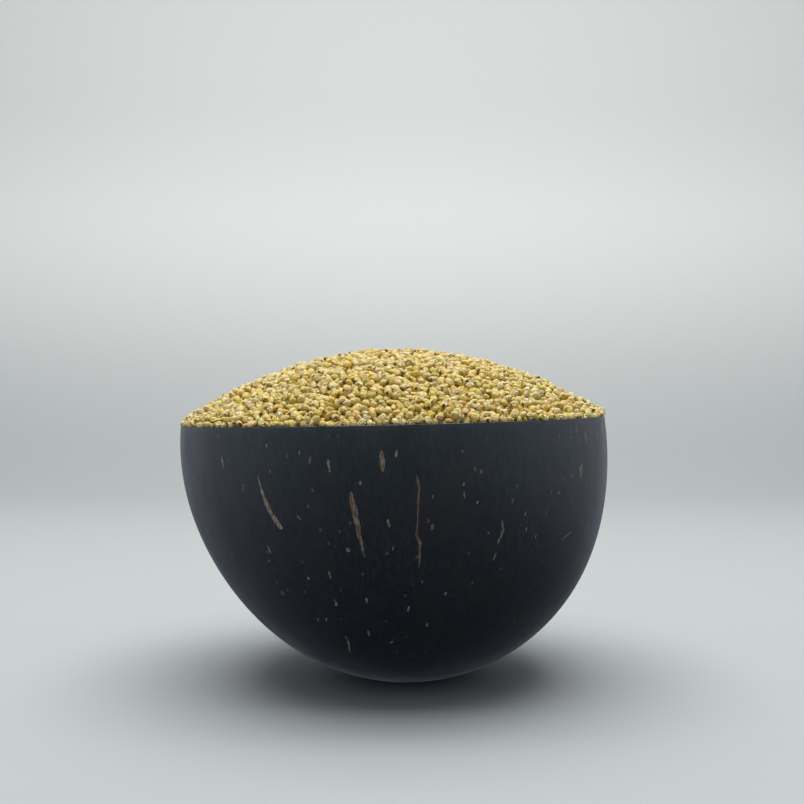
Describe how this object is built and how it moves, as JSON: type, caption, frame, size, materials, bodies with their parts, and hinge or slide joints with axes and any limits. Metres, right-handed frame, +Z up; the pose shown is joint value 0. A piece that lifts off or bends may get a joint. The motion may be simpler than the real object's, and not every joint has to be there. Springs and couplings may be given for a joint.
{
  "type": "bowl of foxtail millet",
  "caption": "Black polished half coconut-shell bowl, round-bottomed, heaped over its rim with pale yellow foxtail millet grains.",
  "frame": {"origin": "middle of the small sanded flat spot that the bowl rests on", "axes": "+Z up, +Y away from the viewer, +X to the viewer's right, where the rim is a little higher"},
  "size_m": [0.1095, 0.1096, 0.0848],
  "materials": {
    "coconut_shell": "polished near-black coconut shell with tan fibre streaks",
    "millet": "dry cream-yellow hulled grains, some with a dark spot"
  },
  "bodies": {
    "root": {"coconut_bowl": "coconut_shell", "millet_heap": "millet"}
  },
  "joints": []
}
